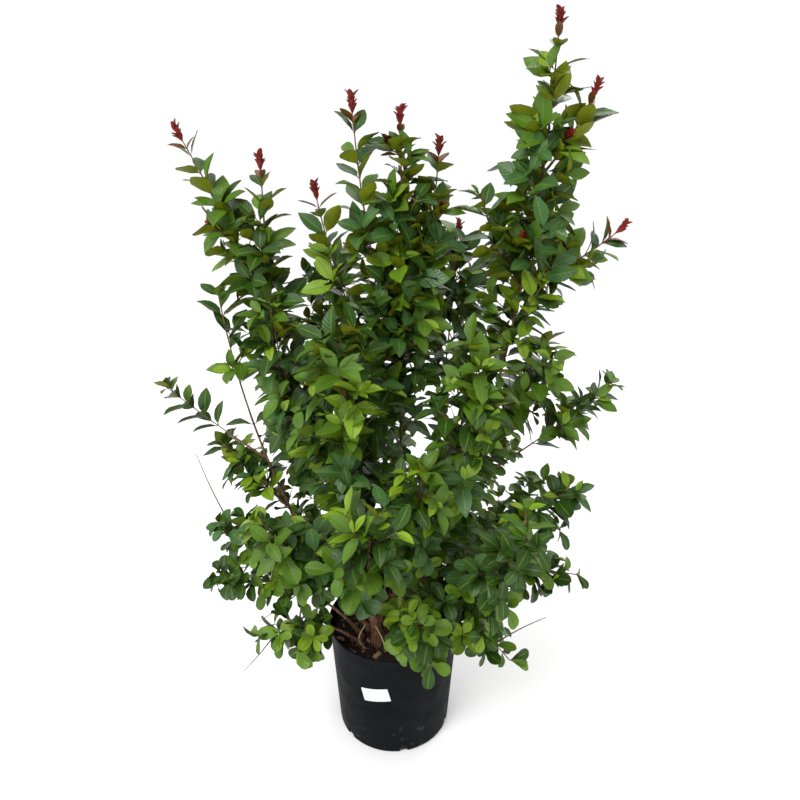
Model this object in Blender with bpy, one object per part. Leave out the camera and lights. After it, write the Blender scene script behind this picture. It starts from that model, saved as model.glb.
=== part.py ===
"""Crape myrtle shrub in a plastic nursery pot: a clump of stems rising from the soil, side boughs, and
the masses of leaves they carry. Metres, +Z up, origin in the middle of the pot's underside. -Y is the
front, +X the right-hand side."""

import math
import random
from dataclasses import dataclass

import bmesh
import bpy
from mathutils import Matrix, Vector

# Pot
POT_HEIGHT = 0.25
POT_TOP_RADIUS = 0.1343
POT_BASE_RADIUS = 0.117
POT_WALL = 0.0026
POT_FLOOR = 0.004
POT_CORNER = 0.005
LIP_HEIGHT = 0.009
LIP_PROUD = 0.0015
POT_SIDES = 32

# Drain holes, notched out of the pot's bottom edge
DRAIN_COUNT = 6
DRAIN_FIRST_DEG = -80.0
DRAIN_WIDTH = 0.016
DRAIN_HEIGHT = 0.018
DRAIN_ROUND = 0.005
DRAIN_DEPTH = 0.011

# Label stuck to the pot's wall
LABEL_WIDTH = 0.056
LABEL_HEIGHT = 0.032
LABEL_THICK = 0.0004
LABEL_HEADING_DEG = -106.0
LABEL_CENTRE_Z = 0.157
LABEL_TILT_DEG = 12.0
LABEL_STEPS = 6

# Soil
SOIL_TOP = 0.22

# Gap that touching pieces keep
CLEARANCE = 0.0003

# Limbs
LIMB_SIDES = 6
LIMB_STEP = 0.07
LIMB_TIP_SHARE = 0.42
FLARE_HEIGHT = 0.018
FLARE_SHARE = 0.9
SUNK_IN_MASS = 0.02

# Masses of leaves
MASS_SIDES = 8
MASS_RINGS = (0.05, 0.17, 0.33, 0.51, 0.69, 0.86)
MASS_UNEVEN = 0.2
MASS_DRIFT = 0.14
MASS_SWELL = 0.3
MASS_TAPER = 0.7


@dataclass
class Limb:
    """A stem or bough and the leaves round its outer end."""

    start: tuple  # (x, y) of a stem's foot on the soil, or (parent, share of the parent's length)
    tip: tuple  # (x, y, z) of the furthest leaf
    bow: float  # how far its middle swings outward and below the straight line; negative arches over
    girth: float  # half the width of its leaves at their widest
    bare: float = 0.0  # share of its length that has no leaves
    radius: float = 0.0  # at its foot; a limb with none is hidden in its own leaves from the start


LIMBS = {
    # Stems that rise from the soil
    "stem_right": Limb((0.016, 0.012), (0.252, 0.01, 1.349), 0.06, 0.075, 0.5, 0.0065),
    "stem_left": Limb((-0.026, 0.022), (-0.347, 0.02, 1.189), -0.036, 0.06, 0.5, 0.0055),
    "stem_centre": Limb((0.0, -0.006), (0.013, -0.02, 1.213), 0.012, 0.07, 0.42, 0.006),
    "stem_main": Limb((-0.030, -0.040), (-0.08, -0.15, 0.92), 0.02, 0.095, 0.42, 0.0105),
    "stem_dark": Limb((-0.052, -0.008), (-0.301, 0.0, 0.96), 0.05, 0.052, 0.6, 0.0048),
    "stem_back_left": Limb((-0.022, 0.055), (-0.14, 0.22, 1.0), 0.03, 0.085, 0.5, 0.005),
    "stem_back_right": Limb((0.03, 0.045), (0.13, 0.23, 1.02), 0.03, 0.085, 0.5, 0.005),
    "stem_front": Limb((0.022, -0.034), (0.14, -0.14, 0.90), 0.02, 0.09, 0.42, 0.0055),
    # Boughs that leave the soil low and spread over the pot's rim
    "low_right": Limb((0.052, -0.012), (0.394, -0.05, 0.377), -0.07, 0.055, 0.33, 0.0042),
    "low_droop": Limb((0.046, -0.04), (0.242, -0.15, 0.228), -0.075, 0.042, 0.36, 0.0035),
    "low_left": Limb((-0.064, -0.03), (-0.381, -0.05, 0.372), -0.06, 0.045, 0.36, 0.004),
    "low_left_front": Limb((-0.064, -0.056), (-0.281, -0.15, 0.298), -0.05, 0.042, 0.4, 0.0035),
    "low_back": Limb((0.006, 0.075), (0.02, 0.34, 0.33), -0.06, 0.062, 0.35, 0.004),
    # Boughs that part from the stems, bare at first
    "right_arm": Limb(("stem_right", 0.3), (0.419, 0.0, 0.79), 0.012, 0.038, 0.4, 0.0035),
    "left_arm": Limb(("stem_dark", 0.55), (-0.434, 0.0, 0.779), 0.004, 0.028, 0.38, 0.0025),
    # Right-hand side
    "right_plume_side": Limb(("stem_right", 0.8), (0.323, 0.02, 1.253), 0.008, 0.03),
    "right_plume_low": Limb(("stem_right", 0.64), (0.387, 0.0, 1.042), 0.01, 0.04),
    "right_plume_inner": Limb(("stem_right", 0.66), (0.138, -0.02, 1.12), 0.02, 0.04),
    "right_upper": Limb(("stem_right", 0.42), (0.276, 0.0, 0.86), 0.03, 0.068),
    "right_mid": Limb(("stem_right", 0.16), (0.345, -0.04, 0.60), 0.03, 0.075),
    "right_front": Limb(("stem_front", 0.2), (0.225, -0.24, 0.62), 0.03, 0.08),
    "right_low_front": Limb(("stem_front", 0.08), (0.2, -0.2, 0.37), -0.02, 0.06),
    # Left-hand side
    "left_plume_side": Limb(("stem_left", 0.7), (-0.211, 0.0, 1.147), 0.012, 0.038),
    "left_mid": Limb(("stem_dark", 0.4), (-0.352, 0.03, 0.66), 0.0, 0.05),
    "left_cluster": Limb(("stem_dark", 0.2), (-0.36, -0.05, 0.52), 0.0, 0.055),
    "low_front_left": Limb(("low_left_front", 0.3), (-0.194, -0.18, 0.273), -0.02, 0.036),
    "left_front": Limb(("stem_main", 0.28), (-0.215, -0.23, 0.64), 0.03, 0.075),
    "left_upper": Limb(("stem_left", 0.36), (-0.2, -0.06, 0.96), 0.03, 0.07),
    # Middle
    "centre_plume_left": Limb(("stem_centre", 0.56), (-0.061, -0.03, 1.23), 0.012, 0.045),
    "centre_plume_right": Limb(("stem_centre", 0.56), (0.075, 0.0, 1.17), 0.012, 0.048),
    "centre_plume_far": Limb(("stem_centre", 0.5), (-0.126, 0.0, 1.102), 0.02, 0.042),
    "centre_front": Limb(("stem_main", 0.3), (-0.03, -0.29, 0.67), 0.03, 0.085),
    "centre_mid": Limb(("stem_centre", 0.2), (0.05, -0.24, 0.74), 0.03, 0.075),
    "centre_low": Limb(("stem_front", 0.12), (0.04, -0.27, 0.47), 0.02, 0.062),
    "low_front": Limb(("stem_front", 0.04), (0.075, -0.25, 0.31), -0.03, 0.05),
    # Back
    "back_mid_left": Limb(("stem_back_left", 0.25), (-0.27, 0.25, 0.64), 0.03, 0.085),
    "back_mid": Limb(("stem_back_left", 0.3), (0.0, 0.35, 0.64), 0.03, 0.085),
    "back_mid_right": Limb(("stem_back_right", 0.25), (0.27, 0.25, 0.66), 0.03, 0.085),
    "back_low_left": Limb(("stem_back_left", 0.06), (-0.25, 0.23, 0.36), -0.01, 0.065),
    "back_low_right": Limb(("stem_back_right", 0.06), (0.26, 0.23, 0.35), -0.01, 0.065),
}


def clear_scene():
    for item in list(bpy.data.objects):
        bpy.data.objects.remove(item, do_unlink=True)


def material(name, colour, roughness):
    made = bpy.data.materials.new(name)
    made.use_nodes = True
    shader = made.node_tree.nodes["Principled BSDF"]
    shader.inputs["Base Color"].default_value = (*colour, 1.0)
    shader.inputs["Roughness"].default_value = roughness
    shader.inputs["Metallic"].default_value = 0.0
    return made


def place(name, mesh, surface):
    """An object of this mesh, smooth on its round stretches."""
    mesh.shade_smooth()
    mesh.set_sharp_from_angle(angle=math.radians(50))
    made = bpy.data.objects.new(name, mesh)
    made.data.materials.append(surface)
    bpy.context.scene.collection.objects.link(made)
    return made


def mesh_of(name, shape):
    """Turns an edited shape into a mesh whose faces point outward."""
    bmesh.ops.recalc_face_normals(shape, faces=shape.faces)
    mesh = bpy.data.meshes.new(name)
    shape.to_mesh(mesh)
    shape.free()
    return mesh


def lofted(name, rings, foot=None, head=None):
    """A closed skin over rings of points, ended by a flat face or by the point given."""
    shape = bmesh.new()
    loops = [[shape.verts.new(p) for p in ring] for ring in rings]
    sides = len(rings[0])
    for low, high in zip(loops, loops[1:]):
        for i in range(sides):
            j = (i + 1) % sides
            shape.faces.new((low[i], low[j], high[j], high[i]))
    for loop, end in ((loops[0], foot), (loops[-1], head)):
        if end is None:
            shape.faces.new(loop)
            continue
        pole = shape.verts.new(end)
        for i in range(sides):
            shape.faces.new((loop[i], loop[(i + 1) % sides], pole))
    bmesh.ops.triangulate(shape, faces=shape.faces)
    return mesh_of(name, shape)


def turned(name, profile, sides):
    """A solid of revolution; the profile starts and ends on the axis."""
    shape = bmesh.new()
    points = [shape.verts.new((r, 0.0, z)) for r, z in profile]
    edges = [shape.edges.new(pair) for pair in zip(points, points[1:])]
    bmesh.ops.spin(
        shape, geom=points + edges, cent=(0, 0, 0), axis=(0, 0, 1), angle=2 * math.pi, steps=sides
    )
    bmesh.ops.remove_doubles(shape, verts=shape.verts, dist=1e-5)
    return mesh_of(name, shape)


def cut(target, cutter):
    """Takes the cutter's shape out of the target."""
    made = target.modifiers.new(f"clear_of_{cutter.name}"[:60], "BOOLEAN")
    made.operation = "DIFFERENCE"
    made.object = cutter


def hide(cutter):
    cutter.hide_render = True
    cutter.display_type = "WIRE"


def wall_radius(z):
    """Outer radius of the pot's tapered wall at this height."""
    return POT_BASE_RADIUS + (POT_TOP_RADIUS - LIP_PROUD - POT_BASE_RADIUS) * z / POT_HEIGHT


def arc(centre, radius, first_deg, last_deg, steps):
    """Points on a stretch of circle in the profile's plane."""
    angles = [math.radians(first_deg + (last_deg - first_deg) * i / steps) for i in range(steps + 1)]
    return [(centre[0] + radius * math.cos(a), centre[1] + radius * math.sin(a)) for a in angles]


def pot_profile():
    lip_foot = POT_HEIGHT - LIP_HEIGHT
    roll = (LIP_PROUD + POT_WALL) / 2
    lip_centre = (POT_TOP_RADIUS - roll, POT_HEIGHT - roll)
    inner_foot = wall_radius(POT_FLOOR) - POT_WALL
    return [
        (0.0, 0.0),
        *arc((POT_BASE_RADIUS - POT_CORNER, POT_CORNER), POT_CORNER, -90, 0, 2),
        (wall_radius(lip_foot), lip_foot),
        (POT_TOP_RADIUS, lip_foot + LIP_PROUD),
        *arc(lip_centre, roll, 0, 180, 3),
        (inner_foot, POT_FLOOR),
        (0.0, POT_FLOOR),
    ]


def drain_cutter(index):
    """An upright notch with rounded upper corners, pushed in through the wall."""
    half, top = DRAIN_WIDTH / 2, DRAIN_HEIGHT
    left = arc((-half + DRAIN_ROUND, top - DRAIN_ROUND), DRAIN_ROUND, 180, 90, 2)
    right = arc((half - DRAIN_ROUND, top - DRAIN_ROUND), DRAIN_ROUND, 90, 0, 2)
    outline = [(-half, -POT_CORNER), *left, *right, (half, -POT_CORNER)]
    inner, outer = POT_BASE_RADIUS - DRAIN_DEPTH, POT_BASE_RADIUS + DRAIN_DEPTH
    rings = [[Vector((r, across, z)) for across, z in outline] for r in (inner, outer)]
    mesh = lofted(f"drain_{index}", rings)
    mesh.transform(Matrix.Rotation(math.radians(DRAIN_FIRST_DEG + 360 * index / DRAIN_COUNT), 4, "Z"))
    return mesh


def make_pot(surface):
    pot = place("pot", turned("pot", pot_profile(), POT_SIDES), surface)
    for index in range(DRAIN_COUNT):
        cutter = place(f"drain_{index}", drain_cutter(index), surface)
        hide(cutter)
        cut(pot, cutter)
    return pot


def make_label(surface):
    """A thin sheet bent round the wall, a little tilted."""
    tilt = math.radians(LABEL_TILT_DEG)
    rings = []
    for step in range(LABEL_STEPS + 1):
        across = LABEL_WIDTH * (step / LABEL_STEPS - 0.5)
        ring = []
        for up, lift in ((-0.5, 0.0), (0.5, 0.0), (0.5, LABEL_THICK), (-0.5, LABEL_THICK)):
            rise = up * LABEL_HEIGHT
            z = LABEL_CENTRE_Z + rise * math.cos(tilt) + across * math.sin(tilt)
            along = across * math.cos(tilt) - rise * math.sin(tilt)
            radius = wall_radius(z) + CLEARANCE + lift
            angle = math.radians(LABEL_HEADING_DEG) + along / radius
            ring.append(Vector((radius * math.cos(angle), radius * math.sin(angle), z)))
        rings.append(ring)
    place("pot_label", lofted("pot_label", rings), surface)


def make_soil(surface):
    foot = POT_FLOOR + CLEARANCE
    inside = POT_WALL + CLEARANCE
    profile = [
        (0.0, foot),
        (wall_radius(foot) - inside, foot),
        (wall_radius(SOIL_TOP) - inside, SOIL_TOP),
        (0.0, SOIL_TOP),
    ]
    return place("soil", turned("soil", profile, POT_SIDES), surface)


def limb_start(limb):
    if isinstance(limb.start[0], str):
        parent, share = limb.start
        return axis_point(LIMBS[parent], share)
    return Vector((*limb.start, SOIL_TOP + CLEARANCE))


def axis_point(limb, share):
    """A point on the limb's axis: a parabola from its start to its tip."""
    start, tip = limb_start(limb), Vector(limb.tip)
    chord = tip - start
    level = Vector((chord.x, chord.y, 0.0))
    outward = (level.normalized() * chord.z - Vector((0, 0, level.length))) / chord.length
    return start + chord * share + outward * limb.bow * 4 * share * (1 - share)


def axis_length(limb):
    marks = [axis_point(limb, i / 10) for i in range(11)]
    return sum((b - a).length for a, b in zip(marks, marks[1:]))


def ring_round(centre, along, radii):
    """Points round an axis, at these distances from it."""
    side = along.cross(Vector((0.31, -0.95, 0.02))).normalized()
    other = along.cross(side).normalized()
    count = len(radii)
    angles = [2 * math.pi * i / count for i in range(count)]
    return [centre + (side * math.cos(a) + other * math.sin(a)) * r for a, r in zip(angles, radii)]


def direction(limb, share):
    step = 0.01
    return (axis_point(limb, share + step) - axis_point(limb, share - step)).normalized()


def limb_radius(limb, share, length):
    """A true taper, with a flare where a stem leaves the soil."""
    tapered = limb.radius * (1 - (1 - LIMB_TIP_SHARE) * share / limb.bare)
    rooted = not isinstance(limb.start[0], str)
    flare = FLARE_SHARE * math.exp(-share * length / FLARE_HEIGHT) if rooted else 0.0
    return tapered * (1 + flare)


def limb_mesh(name, limb):
    """The bare part of a limb, from its foot to just inside its leaves."""
    length = axis_length(limb)
    end = limb.bare + SUNK_IN_MASS / length
    rooted = not isinstance(limb.start[0], str)
    steps = max(3, round(length * end / LIMB_STEP))
    shares = [end * (i / steps) for i in range(steps + 1)]
    if rooted:
        shares.insert(1, FLARE_HEIGHT / length)
    rings = []
    for share in shares:
        along = Vector((0, 0, 1)) if rooted and share == 0 else direction(limb, share)
        radius = limb_radius(limb, share, length)
        rings.append(ring_round(axis_point(limb, share), along, [radius] * LIMB_SIDES))
    return lofted(name, rings)


def mass_radius(share):
    """How the width of a mass of leaves swells from its foot and tapers to its tip."""
    swell = math.sin(min(share / MASS_SWELL, 1.0) * math.pi / 2) ** 0.8
    return swell * (1 - MASS_TAPER * share**1.6)


def mass_mesh(name, limb):
    """One uneven closed skin round the leafy part of a limb."""
    chance = random.Random(name)
    rings = []
    for ring_share in MASS_RINGS:
        share = limb.bare + (1 - limb.bare) * ring_share
        wide = limb.girth * mass_radius(ring_share)
        drift = Vector([chance.uniform(-1, 1) for _ in range(3)]) * MASS_DRIFT * wide
        radii = [wide * (1 + chance.uniform(-MASS_UNEVEN, MASS_UNEVEN)) for _ in range(MASS_SIDES)]
        rings.append(ring_round(axis_point(limb, share) + drift, direction(limb, share), radii))
    return lofted(name, rings, axis_point(limb, limb.bare), Vector(limb.tip))


def swollen(name, mesh):
    """A hidden copy that is larger all round by the clearance."""
    grown = mesh.copy()
    for vertex in grown.vertices:
        vertex.co += vertex.normal * CLEARANCE
    cutter = bpy.data.objects.new(name, grown)
    bpy.context.scene.collection.objects.link(cutter)
    hide(cutter)
    return cutter


def box_of(mesh):
    corners = [v.co for v in mesh.vertices]
    return [(min(c[i] for c in corners), max(c[i] for c in corners)) for i in range(3)]


def boxes_meet(a, b):
    return all(low < far and near < high for (low, high), (near, far) in zip(box_of(a), box_of(b)))


def make_plant(bark, leaves, neighbours):
    """Stems and boughs, cut off where they meet their leaves and their parent, and the leaves, each
    mass cut clear of the pot and soil, of the limbs that pass it and of the masses before it."""
    ground_cutters = [swollen(f"round_{part.name}", part.data) for part in neighbours]
    limb_cutters, mass_cutters = {}, {}
    limb_parts, mass_parts = {}, {}
    for name, limb in LIMBS.items():
        if limb.radius:
            limb_parts[name] = place(name, limb_mesh(name, limb), bark)
            limb_cutters[name] = swollen(f"round_{name}", limb_parts[name].data)
        leafy = f"leaves_{name.removeprefix('stem_')}"
        mass_parts[name] = place(leafy, mass_mesh(leafy, limb), leaves)
        mass_cutters[name] = swollen(f"round_{leafy}", mass_parts[name].data)

    for name, part in limb_parts.items():
        cut(part, mass_cutters[name])
        if LIMBS[name].start[0] in limb_cutters:
            cut(part, limb_cutters[LIMBS[name].start[0]])

    for index, (name, part) in enumerate(mass_parts.items()):
        others = ground_cutters + [c for n, c in limb_cutters.items() if n != name]
        others += list(mass_cutters.values())[:index]
        for cutter in others:
            if boxes_meet(part.data, cutter.data):
                cut(part, cutter)


def main():
    clear_scene()
    plastic = material("pot_plastic", (0.012, 0.016, 0.019), 0.62)
    paper = material("label_paper", (0.82, 0.82, 0.82), 0.5)
    earth = material("soil_mix", (0.022, 0.014, 0.010), 0.95)
    bark = material("bark", (0.16, 0.085, 0.05), 0.8)
    leaves = material("leaf_green", (0.055, 0.13, 0.022), 0.45)
    make_label(paper)
    make_plant(bark, leaves, [make_pot(plastic), make_soil(earth)])


main()
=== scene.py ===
"""Crape myrtle shrub in its nursery pot: bark, twigs and leaves grown along the stems and boughs of the
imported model, with the pot, soil, floor, light and camera. Metres, +Z up, -Y the front."""

import math
import random
from dataclasses import dataclass

import bmesh
import bpy
import numpy as np
from mathutils import Matrix, Vector, noise


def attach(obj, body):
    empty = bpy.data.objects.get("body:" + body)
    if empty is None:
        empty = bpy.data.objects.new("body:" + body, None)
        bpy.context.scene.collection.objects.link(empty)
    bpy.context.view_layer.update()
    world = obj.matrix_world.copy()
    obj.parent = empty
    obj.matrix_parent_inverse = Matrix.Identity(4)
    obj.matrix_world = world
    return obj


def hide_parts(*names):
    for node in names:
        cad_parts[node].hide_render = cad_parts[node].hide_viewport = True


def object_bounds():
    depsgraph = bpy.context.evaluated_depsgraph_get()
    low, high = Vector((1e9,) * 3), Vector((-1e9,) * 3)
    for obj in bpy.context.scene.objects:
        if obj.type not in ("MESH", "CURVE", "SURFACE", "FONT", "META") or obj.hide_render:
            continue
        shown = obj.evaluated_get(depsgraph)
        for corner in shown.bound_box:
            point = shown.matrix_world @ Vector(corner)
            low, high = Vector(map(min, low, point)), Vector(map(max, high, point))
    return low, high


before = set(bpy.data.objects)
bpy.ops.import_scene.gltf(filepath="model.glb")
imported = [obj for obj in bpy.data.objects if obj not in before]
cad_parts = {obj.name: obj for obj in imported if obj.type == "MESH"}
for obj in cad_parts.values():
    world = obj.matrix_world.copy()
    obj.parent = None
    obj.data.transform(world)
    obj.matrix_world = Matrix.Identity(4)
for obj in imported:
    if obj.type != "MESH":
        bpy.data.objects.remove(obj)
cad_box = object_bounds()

SEED = 41
UP = Vector((0, 0, 1))
SQUARE = ((-1, -1), (1, -1), (1, 1), (-1, 1))

# Camera
CAMERA_PLACE = (0.0128, -1.102, 1.152)
CAMERA_PITCH_DEG = 21.0
CAMERA_LENS = 29.25
CAMERA_SENSOR = 36.0

# Floor and light: each lamp has a name, place, size and power
FLOOR_HALF = 60.0
SKY_STRENGTH = 1.08
LAMP_AIM = (0, 0, 0.6)
LAMPS = (
    ("key_light", (-1.3, -1.9, 2.9), 1.4, 78.0),
    ("back_light", (1.2, 2.2, 2.6), 1.6, 26.0),
)

# Pot
POT_HEIGHT = 0.25
POT_TOP_RADIUS = 0.1343
POT_BASE_RADIUS = 0.117
POT_WALL = 0.0026
POT_FLOOR = 0.004
POT_CORNER = 0.005
POT_SIDES = 160
POT_SMOOTH_DEG = 40
LIP_HEIGHT = 0.009
LIP_PROUD = 0.0015
LIP_ROUND = 0.0003
DRAIN_COUNT = 6
DRAIN_FIRST_DEG = -80.0
DRAIN_WIDTH = 0.016
DRAIN_HEIGHT = 0.018
DRAIN_ROUND = 0.005
DRAIN_DEPTH = 0.011
CLEARANCE = 0.0003

# Soil: its top is uneven with lumps and crumbs
SOIL_TOP = 0.22
SOIL_RINGS = 34
SOIL_SIDES = 120
SOIL_SUNK = 0.003
SOIL_UNEVEN = 0.0045
LUMP_SCALE, LUMP_SHARE = 38.0, 0.7
CRUMB_SCALE, CRUMB_SHARE = 150.0, 0.35

# Chips on the soil: the range of each half side, and the sizes that they come in
CHIP_COUNT = 420
CHIP_HALF = ((0.006, 0.012), (0.003, 0.006), (0.0012, 0.003))
CHIP_SIZES = (0.3, 0.45, 0.6, 1.0)
CHIP_SPREAD = 0.95
CHIP_SPIN = 6.3
CHIP_TILT = 0.5
CHIP_CORNERS = (0.55, 1.1)
CHIP_RAISED = 0.0008

# Limbs: taper, root flare and bark
AXIS_PARTS = 10
LIMB_TIP_SHARE = 0.42
LIMB_END_RADIUS = 0.0009
LIMB_SHORT = 0.032
HIDDEN_RADIUS = 0.0024
FLARE_HEIGHT = 0.018
FLARE_SHARE = 0.9
FOOT_SUNK = 0.004
BARK_SIDES = 12
BARK_STEP = 0.007
BARK_RELIEF = 0.16
BARK_GRAIN = 130.0
RIDGE_STRETCH = 0.3
FINE_SCALE, FINE_SHARE = 2.3, 0.4
THIN_LIMB_RADIUS = 0.004
THIN_BARK_SIDES = 7
HIDDEN_BARK_RELIEF = 0.08

# Curls of peeling bark on the stout stems
FLAKE_COUNT = 150
FLAKE_STEM_RADIUS = 0.0049
FLAKE_SIDES = 4
FLAKE_LENGTH = (0.008, 0.03)
FLAKE_LIFT = 0.0026
FLAKE_RADII = (0.0004, 0.0011, 0.0009, 0.0003)

# Dead straw-coloured twigs round the stems, and leafless twigs on the limbs
STRAW_COUNT = 46
STRAW_STEPS = 6
STRAW_REACH = (0.015, 0.085)
STRAW_RISE = (0.05, 0.2)
STRAW_LEAN = (0.0, 0.07)
STRAW_BEND = (0.004, 0.02)
STRAW_RADIUS, STRAW_TAPER = 0.0013, 0.0001
BARE_STEPS = 8
BARE_SWAY = 0.003
BARE_RADIUS, BARE_TAPER = 0.0016, 0.00012

# Masses of leaves: swell and taper, side shoots, and the pair of leaves that closes a shoot
MASS_SWELL = 0.3
MASS_TAPER = 0.7
SWELL_POWER = 0.8
TAPER_POWER = 1.6
NODE_STEP = 0.0235
NODE_SHORT = 0.045
NODE_TURN = 0.4
NODE_PLACE = (0.2, 0.8)
SIDE_LEAN_DEG = (42, 66)
SIDE_REACH = (0.75, 1.3)
SHOOT_STEP = 0.0195
SHOOT_LEAST = 0.018
SHOOT_MOST = 0.095
SHOOT_LIFT = (0.02, 0.3)
SHOOT_RADIUS, SHOOT_TAPER = 0.0014, 0.0008
CLOSING_SIZES = (0.42, 0.75)
CLOSING_SPREAD = 0.35
CLOSING_FRESH = 0.4
TWIG_SIDES = 5

# Heights where the growth changes its look
SKIRT_HEIGHT = 0.45
POINTED_HEIGHT = 0.55
LEAN_HEIGHT = 0.9
PLUME_HEIGHT = 0.95
FLUSH_HEIGHT = 0.98

# Leaves stay off the floor and the pot's rim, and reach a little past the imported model's box
FLOOR_MARGIN = 0.02
RIM_MARGIN = 0.006
RIM_BAND = 0.02
BOX_MARGIN = 0.012

# Leaves: their length, how many of them grow, and how they lean and face
LEAF_LENGTH = 0.043
LEAF_LONGER = 0.021
LEAF_LONGER_OVER = 0.8
LEAF_LEAST = 0.016
LEAF_ROOM = 0.8
LEAF_PAST_SHOOT = 0.45
LEAF_CHANCE = 0.93
LAST_PAIR_LESS = 0.22
TIP_LESS = 0.25
LEAF_SIZES = (0.8, 1.18)
LEAF_LEAN_HIGH_DEG = (32, 62)
LEAF_LEAN_LOW_DEG = (38, 68)
LEAF_LIFT = (-0.12, 0.22)
FACE_ALONG = 0.75
FACE_UP_HIGH = 0.1
FACE_UP_LOW = (0.4, 1.0)
FACE_FRONT = 0.25
FACE_SPREAD = 0.2

# Leaves on the limb itself: the inner share of it where most of them take the deep green on both sides,
# painted shade for the inside of the mass
INNER_SHARE = 0.7
INNER_PAINTED_SHADE = 0.75

# The few leaves that close a limb without red ones
END_LEAVES = 4
END_BACK = 0.04
END_LEAF_LENGTH = 0.036

# Blades: width as a share of length, powers of the outline, fold and curl
POINTED_WIDTH = (0.42, 0.51)
POINTED_POWERS = (0.84, (0.85, 1.1))
ROUND_WIDTH = (0.5, 0.6)
ROUND_POWERS = ((0.85, 1.05), 0.56)
LEAF_FOLD = (0.08, 0.42)
LEAF_CURL = (0.12, 0.85)

# Bunches of young red leaves, each over a pair of bronze ones; a blade is fold, curl, powers
FLUSH_LENGTH = 0.026
FLUSH_STALK = 0.022
FLUSH_STALK_RADII = (0.0011, 0.0009, 0.0005)
FLUSH_TIERS = 5
FLUSH_TIER_STEP = 0.16
FLUSH_CHANCE = 0.16
FLUSH_AHEAD = 0.02
FLUSH_SMALL = 0.8
RED_LEAN_DEG = (8, 30)
RED_SIZES = (0.55, 0.8)
RED_WIDTH = 0.46
RED_BLADE = (0.5, 0.4, (0.8, 0.75))
BRONZE_LENGTH = 0.032
BRONZE_BACK = 0.012
BRONZE_SIZES = (0.85, 1.25)
BRONZE_WIDTH = 0.34
BRONZE_BLADE = (0.3, 0.35, (0.8, 0.9))

# A blade's mesh: rows along it, places across its upper and lower sides, petiole and ripple
BLADE_ROWS = np.array([0.0, 0.1, 0.26, 0.45, 0.64, 0.82, 0.94, 1.0])
UPPER_ACROSS = np.array([-1.0, -0.52, -0.075, 0.075, 0.52, 1.0])
LOWER_ACROSS = np.array([-1.0, 0.0, 1.0])
BLADE_THICK = 0.0008
PETIOLE_SHARE = 0.1
PETIOLE_END = 0.3
PETIOLE_HALF = 0.0009
RIPPLE_DEPTH = 0.035
RIPPLE_WAVES = 11.0
RIPPLE_SPREAD = 900.0

# Leaf surfaces: colour and roughness
LEAF_SURFACES = {
    "leaf_mid": ((0.060, 0.130, 0.006), 0.42),
    # Deep green: a tone of its own on leaves chosen at random, and painted shade on the inner leaves of the
    # limbs
    "leaf_deep": ((0.020, 0.058, 0.004), 0.42),
    "leaf_blue": ((0.034, 0.094, 0.020), 0.36),
    "leaf_fresh": ((0.150, 0.250, 0.010), 0.44),
    "leaf_bright": ((0.098, 0.190, 0.010), 0.42),
    "leaf_rib": ((0.082, 0.150, 0.014), 0.45),
    "under_olive": ((0.155, 0.185, 0.005), 0.55),
    "under_pale": ((0.105, 0.172, 0.012), 0.55),
    "leaf_bronze": ((0.170, 0.060, 0.012), 0.40),
    "leaf_red": ((0.190, 0.016, 0.012), 0.38),
}
LEAF_DRIFT_SCALE = 26.0
LEAF_DRIFT = 0.22
LEAF_SPECULAR = 0.27
VEIN_PAIRS = 9.0
VEIN_SLANT = 2.2
VEIN_RELIEF = 0.35
VEIN_DEPTH = 0.0004

# Slots of the materials on the leaves, the soil, the bark and the twigs
SLOT = {name: index for index, name in enumerate(LEAF_SURFACES)}
EARTH, TAN, RED_BROWN, DARK = range(4)
BARK, PEEL, FILM = range(3)
BROWN, GREEN, RUSSET, STRAW = range(4)


@dataclass
class Limb:
    """A stem or bough and the leaves round its outer end."""

    start: tuple  # (x, y) of a stem's foot on the soil, or (parent, share of the parent's length)
    tip: tuple  # (x, y, z) of the furthest leaf
    bow: float  # how far its middle swings outward and below the straight line; negative arches over
    girth: float  # half the width of its leaves at their widest
    bare: float = 0.0  # share of its length that has no leaves
    radius: float = 0.0  # at its foot; a limb with none is hidden in its own leaves from the start


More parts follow.
